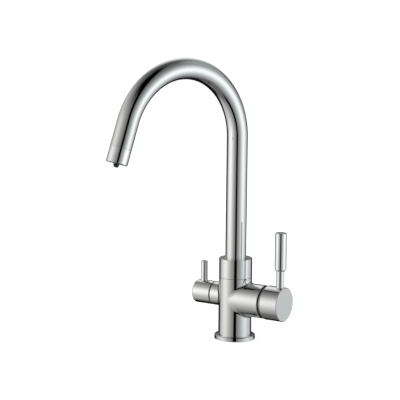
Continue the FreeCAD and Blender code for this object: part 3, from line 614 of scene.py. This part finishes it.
# Mixer lever
# A drawn brass rod, threaded at both ends, that screws into the knob and carries the grip.
# Plated and polished along its length.
lever = turn_piece("lever_rod_drawn", [
    (8.8, 2.95), (19.3, 2.95), (19.3, 4.75), (40.1, 4.75), (40.1, 2.95), (55.8, 2.95)],
    (lever_x, 0, mixer_z))
break_edges(lever, 0.12)
polish(lever)
# Its lighter copy of the chrome is a painted highlight.
finish_with(lever, painted_highlight_chrome)
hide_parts("mixer_lever_rod")
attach(lever, "mixer_lever")

# Mixer grip
# A thicker turned sleeve screwed on the rod's upper end, chrome plated.
# Its foot is chamfered and its top edge just rounded.
grip = turn_piece("grip_turned", [
    (85.7, 6.0), (85.57, 6.5), (85.2, 6.87), (84.7, 7.0), (41.7, 7.0), (40.1, 5.4), (40.1, 3.0),
    (56.1, 3.0)], (lever_x, 0, mixer_z))
break_edges(grip, 0.15)
polish(grip)
# Its lighter copy of the chrome is a painted highlight.
finish_with(grip, painted_highlight_chrome)
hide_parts("mixer_lever_grip")
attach(grip, "mixer_lever")

# Filter arm sleeve
# A thin chrome tube slid over the body's boss. Its inner end is cut to the trunk's round and stands just off
# it. Its outer rim ends 0.6 mm before the solid's, so the seam at the handle reads as a dark line, deepened
# by painted shade.
sleeve_end = -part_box("filter_arm_sleeve")[0].x * 1000
sleeve_rim = sleeve_end - 0.6
sleeve = turn_piece("sleeve_saddled", [
    (8.0, 13.25), (8.0, 14.25), (sleeve_rim, 14.25), (sleeve_rim, 13.25), (8.0, 13.25)],
    (0, 0, filter_z), (-1, 0, 0))
saddle = turn_piece("saddle_cutter", [(20.0, 21.0), (90.0, 21.0)])
cut_with(sleeve, saddle)
break_edges(sleeve, 0.15)
polish(sleeve)
finish_with(sleeve, chrome)
# The sleeve's rim and its saddled inner end get the dark painted gap shade.
paint_shade_on(sleeve, gap_shade_paint,
             lambda centre: centre.x < 0.02 - sleeve_rim or math.hypot(centre.x, centre.y) < 21.03)
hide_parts("filter_arm_sleeve")
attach(sleeve, "tap_body")

# Filter handle
# A turned knob with a wide rounding at its far end, on the quarter-turn spindle.
# A grub screw holds it from below, and its short lever stands in a drilled seat.
handle_low, handle_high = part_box("filter_handle")
handle_start = -handle_high.x * 1000
handle_end = -handle_low.x * 1000
handle_lever = handle_end - 9.7
rounding = 2.2
stations = []
for step in range(9):
    turn = math.radians(90 * step / 8)
    stations.append((handle_end - rounding + rounding * math.cos(turn), 12.05 + rounding * math.sin(turn)))
stations += [(handle_start + 0.3, 14.25), (handle_start, 13.95), (handle_start, 10.0)]
stations.append((handle_start + 5, 10.0))
handle = turn_piece("handle_turned", stations, (0, 0, filter_z), (-1, 0, 0))
break_edges(handle, 0.2)
square_hole(handle, (-43.8, -2.8, filter_z - 2.8), (-handle_start - 4.5, 2.8, filter_z + 2.8))
drill(handle, 4.3, (-handle_lever, 0, filter_z + 12.9), (-handle_lever, 0, filter_z + 16))
drill(handle, 2.5, (-handle_lever, 0, filter_z + 6), (-handle_lever, 0, filter_z + 13.5))
drill(handle, 2.0, (-handle_start - 9.5, 0, filter_z - 16), (-handle_start - 9.5, 0, filter_z))
polish(handle)
finish_with(handle, chrome)


def in_handle_gap(centre):
    """On the handle's end that faces the sleeve, or on the edge of its bore."""
    on_end = centre.x > -0.02 - handle_start
    on_bore_edge = centre.x > -0.4 - handle_start and math.hypot(centre.y, centre.z - filter_z) < 13
    return on_end or on_bore_edge


# The handle's end by the sleeve gets the dark painted gap shade.
paint_shade_on(handle, gap_shade_paint, in_handle_gap)
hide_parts("filter_handle")
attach(handle, "filter_handle")

# Filter lever
# A plain drawn rod with a rounded top, screwed into the handle.
filter_lever = turn_piece("filter_lever_drawn", [
    (38.0, 3.05), (37.84, 3.65), (37.4, 4.09), (36.8, 4.25), (12.9, 4.25), (12.9, 2.45), (6.3, 2.45)],
    (-handle_lever, 0, filter_z))
break_edges(filter_lever, 0.12)
polish(filter_lever)
# Its lighter copy of the chrome is a painted highlight.
finish_with(filter_lever, painted_highlight_chrome)
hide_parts("filter_lever_rod")
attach(filter_lever, "filter_handle")

# Spout collar
# A turned socket that holds the tube and turns on the body's stem, on a nylon ring.
# A grub screw at the back runs in the stem's groove and keeps it on.
ahead_of_spout = Vector((math.sin(math.radians(-17)), -math.cos(math.radians(-17)), 0))
collar = turn_piece("collar_turned", [
    (75.15, 18.25), (75.15, 19.85), (75.3, 20.0), (97.7, 20.0), (98.0, 19.7), (98.0, 12.55), (92.0, 12.55),
    (92.0, 11.2), (91.0, 11.2), (91.0, 15.95), (76.65, 15.95), (76.65, 18.25), (75.15, 18.25)])
break_edges(collar, 0.12)
screw_height = Vector((0, 0, 83))
drill(collar, 2.0, screw_height - ahead_of_spout * 14, screw_height - ahead_of_spout * 21)
polish(collar)
finish_with(collar, chrome)


def in_collar_gap(centre):
    """On the collar's foot, or inside its socket."""
    return centre.z < 75.17 or (centre.z < 91.5 and math.hypot(centre.x, centre.y) < 18.3)


# The collar's foot and socket get the dark painted gap shade.
paint_shade_on(collar, gap_shade_paint, in_collar_gap)
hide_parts("spout_collar")
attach(collar, "spout")

# Spout tube
# One brass tube 25 mm across with a 1 mm wall, bent on a mandrel to a swan neck, then buffed and plated.
# It is brazed into the collar, and the outlet is fixed in its end.
tube_radius = 12.5
tube_wall = 1.0
tube_foot = 92.0
bend_z = 244.0
arch_radius = 84.0
arch_turn = math.radians(161)
bpy.ops.object.select_all(action="DESELECT")
bpy.ops.mesh.primitive_circle_add(vertices=SIDES, radius=tube_radius * MM, fill_type="NGON",
                                  location=(0, 0, tube_foot * MM))
tube = bpy.context.object
tube.name = "swan_neck_tube"
bpy.ops.object.transform_apply(location=True, rotation=True, scale=True)
bpy.ops.object.mode_set(mode="EDIT")
bpy.ops.mesh.select_mode(type="FACE")
bpy.ops.mesh.select_all(action="SELECT")
bpy.ops.mesh.inset(thickness=tube_wall * MM)
bpy.ops.mesh.delete(type="FACE")
bpy.ops.mesh.select_all(action="SELECT")
bpy.ops.mesh.extrude_region_move(TRANSFORM_OT_translate={"value": (0, 0, (bend_z - tube_foot) * MM)})
bend_centre = (Vector((0, 0, bend_z)) + ahead_of_spout * arch_radius) * MM
bend_axis = Vector((0, 0, 1)).cross(ahead_of_spout)
bpy.ops.mesh.spin(steps=104, angle=-arch_turn, center=bend_centre, axis=bend_axis)
tip_direction = Vector((0, 0, math.cos(arch_turn))) + ahead_of_spout * math.sin(arch_turn)
bpy.ops.mesh.extrude_region_move(TRANSFORM_OT_translate={"value": tip_direction * 30.4 * MM})
bpy.ops.mesh.select_all(action="SELECT")
bpy.ops.mesh.remove_doubles(threshold=0.000002)
bpy.ops.mesh.select_all(action="SELECT")
bpy.ops.mesh.normals_make_consistent(inside=False)
bpy.ops.object.mode_set(mode="OBJECT")
break_edges(tube, 0.12)
polish(tube)
finish_with(tube, chrome)
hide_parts("spout_tube")
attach(tube, "spout")

# Outlet sleeve
# The turned end of the spout, pushed into the tube up to a fine seam. Its mouth is rounded, and a lip
# inside holds the jet insert and its seal.
arch_end = Vector((0, 0, bend_z + arch_radius * math.sin(arch_turn)))
arch_end += ahead_of_spout * arch_radius * (1 - math.cos(arch_turn))
outlet = turn_piece("outlet_turned", [
    (23.0, 9.8), (23.0, 11.45), (30.4, 11.45), (30.4, 12.35), (30.55, 12.5), (47.3, 12.5), (47.6, 12.42),
    (47.82, 12.2), (47.9, 11.9), (47.9, 10.5), (46.7, 10.5), (46.7, 10.95), (36.0, 10.95), (36.0, 9.8),
    (23.0, 9.8)], arch_end, tip_direction)
break_edges(outlet, 0.1)
polish(outlet)
# Its lighter copy of the chrome is a painted highlight.
finish_with(outlet, painted_highlight_chrome)
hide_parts("outlet_sleeve")
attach(outlet, "spout")

# Filter nozzle
# A black moulded nozzle in the middle of the outlet, so filtered water never touches the mixed water's way.
# Moulded in acetal with a fine satin skin.
black_acetal = bpy.data.materials.new("black_moulded_acetal")
graph = blank_graph(black_acetal)
place = add_node(graph, "ShaderNodeTexCoord").outputs["Object"]
satin = fine_noise(graph, place, 2500.0, 2.0)
skin = add_node(graph, "ShaderNodeBump", [("Height", satin), ("Strength", 0.3), ("Distance", 0.00002)])
sheen = add_node(graph, "ShaderNodeMapRange", [("Value", satin), ("To Min", 0.32), ("To Max", 0.46)])
moulded = add_node(graph, "ShaderNodeBsdfPrincipled",
                   [("Base Color", colour("#141416")), ("Roughness", sheen.outputs[0]), ("IOR", 1.48),
                    ("Normal", skin.outputs[0])])
add_node(graph, "ShaderNodeOutputMaterial", [("Surface", moulded.outputs[0])])
nozzle = turn_piece("nozzle_moulded", [
    (37.7, 4.05), (37.7, 5.05), (46.7, 5.05), (46.7, 3.25), (50.3, 3.25), (51.8, 2.6), (52.1, 2.3),
    (52.1, 1.9), (43.9, 1.9), (43.9, 4.05), (37.7, 4.05)], arch_end, tip_direction)
break_edges(nozzle, 0.1)
polish(nozzle)
finish_with(nozzle, black_acetal)
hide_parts("filter_nozzle")
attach(nozzle, "spout")

# Pieces inside
# What plating doesn't cover keeps the finish it is made with: turned brass, moulded acetal and nylon, fired
# ceramic, moulded rubber and stainless wire and screws.
grain_depth = 0.00001


def plain_finish(name, low, high, scale, rough, metallic=0.0, ior=1.5):
    """Material of two near colours in a fine grain, with its roughness and bump from the same grain."""
    material = bpy.data.materials.new(name)
    graph = blank_graph(material)
    place = add_node(graph, "ShaderNodeTexCoord").outputs["Object"]
    grain = fine_noise(graph, place, scale, 3.0)
    gloss = add_node(graph, "ShaderNodeMapRange",
                     [("Value", grain), ("To Min", rough[0]), ("To Max", rough[1])])
    skin = add_node(graph, "ShaderNodeBump",
                    [("Height", grain), ("Strength", 0.5), ("Distance", grain_depth)])
    shader = add_node(graph, "ShaderNodeBsdfPrincipled",
                      [("Base Color", two_tones(graph, grain, low, high)), ("Metallic", metallic),
                       ("Roughness", gloss.outputs[0]), ("Normal", skin.outputs[0])])
    if not metallic:
        shader.inputs["IOR"].default_value = ior
    add_node(graph, "ShaderNodeOutputMaterial", [("Surface", shader.outputs[0])])
    return material


finishes = {
    "black_rubber": plain_finish("moulded_epdm_rubber", "#1A1A1B", "#262627", 1800.0, (0.5, 0.7)),
    "bare_brass": plain_finish("turned_brass", "#B89554", "#CDAA68", 900.0, (0.18, 0.32), metallic=1.0),
    "grey_acetal": plain_finish("moulded_grey_acetal", "#84888C", "#8F9397", 1500.0, (0.35, 0.5), ior=1.48),
    "white_nylon": plain_finish("moulded_white_nylon", "#E4E2DA", "#ECEAE3", 1500.0, (0.4, 0.55), ior=1.53),
    "white_ceramic": plain_finish("fired_alumina", "#EFEDE6", "#F5F3EE", 2500.0, (0.15, 0.25), ior=1.77),
    "stainless_steel": plain_finish("turned_stainless", "#A9ABAC", "#BBBCBD", 1200.0, (0.22, 0.36),
                                    metallic=1.0),
}
for slot_name, members in {
    "black_rubber": ["base_gasket", "stem_o_rings", "filter_nipple_o_ring", "cartridge_port_seals",
                     "filter_valve_washer", "filter_spindle_o_ring", "outlet_seal"],
    "bare_brass": ["filter_nipple", "cartridge_nut", "cartridge_stem", "filter_headwork", "filter_spindle"],
    "grey_acetal": ["cartridge_case", "disc_carrier", "aerator_insert"],
    "white_nylon": ["spout_thrust_ring", "cartridge_turner", "filter_tube"],
    "white_ceramic": ["fixed_mixing_disc", "moving_mixing_disc", "filter_fixed_disc", "filter_moving_disc"],
    "stainless_steel": ["cartridge_pivot_pin", "mixer_grub_screw", "spout_grub_screw", "filter_spindle_clip",
                        "filter_grub_screw"],
}.items():
    for member in members:
        finish_with(nodes[member], finishes[slot_name])
